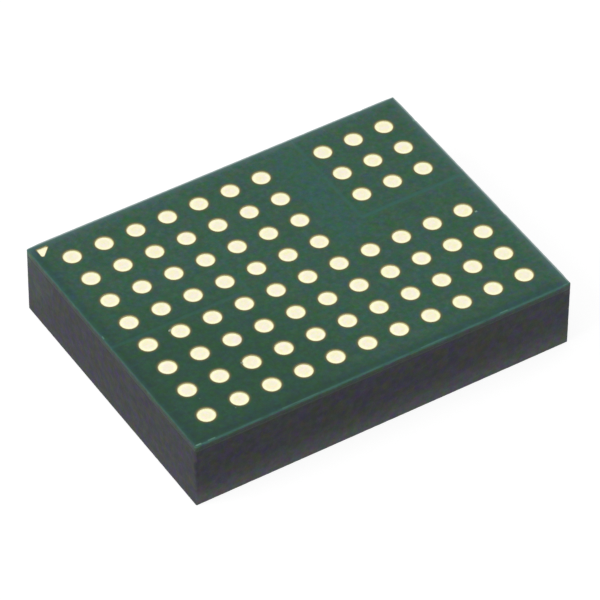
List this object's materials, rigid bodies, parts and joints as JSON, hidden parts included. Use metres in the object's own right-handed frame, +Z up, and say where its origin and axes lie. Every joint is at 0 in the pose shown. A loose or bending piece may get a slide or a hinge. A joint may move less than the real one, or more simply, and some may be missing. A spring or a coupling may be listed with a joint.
{
  "type": "dc-dc converter module",
  "caption": "Step-down power module in a land grid package: black moulded cap under a thin green substrate with round gold lands, inductor, dies and chip parts sealed inside.",
  "frame": {"origin": "middle of the moulded face that the module lies on", "axes": "+X along the long side, towards the input lands; +Y along the short side, towards the side with the pin-one mark; +Z up, out of the lands"},
  "size_m": [0.015, 0.0112, 0.0028],
  "materials": {
    "capacitor_ceramic": "satin",
    "copper": "satin",
    "ferrite": "matte",
    "film": "satin",
    "gold_plating": "satin",
    "gold_ribbon": "polished",
    "laminate": "satin",
    "mask": "satin",
    "mould_compound": "satin",
    "resistive_film": "gloss",
    "silicon": "polished",
    "solder": "satin",
    "tin": "satin",
    "white_ceramic": "satin"
  },
  "bodies": {
    "root": {"board_side_mask": "mask", "bond_ribbons": "gold_ribbon", "boost_diode_body": "mould_compound", "boost_diode_leads": "tin", "component_side_copper": "copper", "component_side_mask": "mask", "control_capacitor_bodies": "capacitor_ceramic", "control_capacitor_terminals": "tin", "control_land_copper": "gold_plating", "control_resistor_bodies": "white_ceramic", "control_resistor_films": "resistive_film", "control_resistor_terminals": "tin", "controller_die": "silicon", "die_attach": "solder", "ground_land_copper": "gold_plating", "high_side_switch_clip": "copper", "high_side_switch_die": "silicon", "inductor_base": "ferrite", "inductor_plate": "ferrite", "inductor_spacer": "film", "inductor_winding": "copper", "input_capacitor_bodies": "capacitor_ceramic", "input_capacitor_terminals": "tin", "input_land_copper": "gold_plating", "laminate": "laminate", "low_side_switch_clip": "copper", "low_side_switch_die": "silicon", "mould_cap": "mould_compound", "output_capacitor_bodies": "capacitor_ceramic", "output_capacitor_terminals": "tin", "output_land_copper": "gold_plating", "sense_resistor_bodies": "white_ceramic", "sense_resistor_films": "resistive_film", "sense_resistor_terminals": "tin", "solder_joints": "solder", "through_vias": "copper"}
  },
  "joints": []
}
